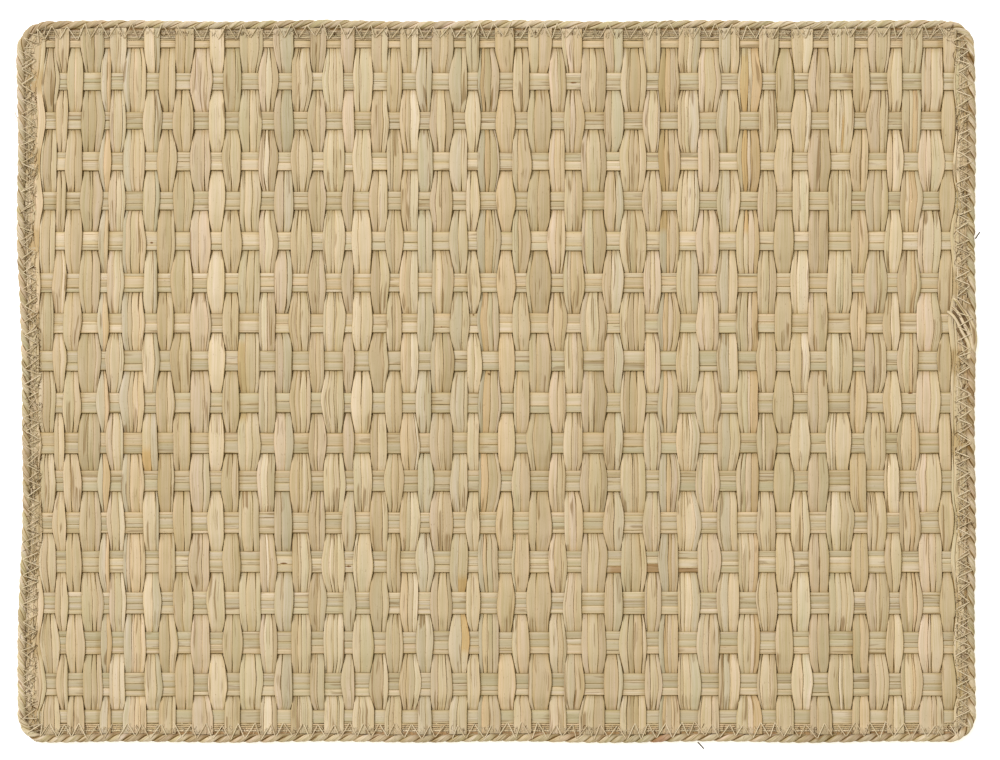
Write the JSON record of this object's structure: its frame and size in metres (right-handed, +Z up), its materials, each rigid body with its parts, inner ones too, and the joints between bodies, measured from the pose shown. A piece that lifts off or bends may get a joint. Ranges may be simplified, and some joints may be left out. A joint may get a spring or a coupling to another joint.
{
  "type": "seagrass placemat",
  "caption": "Flat rectangular table mat of split seagrass leaves in plain weave, with rounded corners and a twisted cord stitched round the edge.",
  "frame": {"origin": "middle of the mat on the table plane, under the woven panel", "axes": "+X along the long side, to the picture's right; +Y along the short side, to the picture's top; +Z up from the table"},
  "size_m": [0.4497, 0.3388, 0.006],
  "materials": {
    "woven_leaf": "dry split seagrass leaf, cream to tan, dull with a faint waxy sheen",
    "cord_leaf": "twisted seagrass leaf, tan with brown streaks, dull",
    "sewing_thread": "thin pale thread, dull"
  },
  "bodies": {
    "root": {"woven_panel": "woven_leaf", "edge_cord": "cord_leaf"}
  },
  "joints": []
}
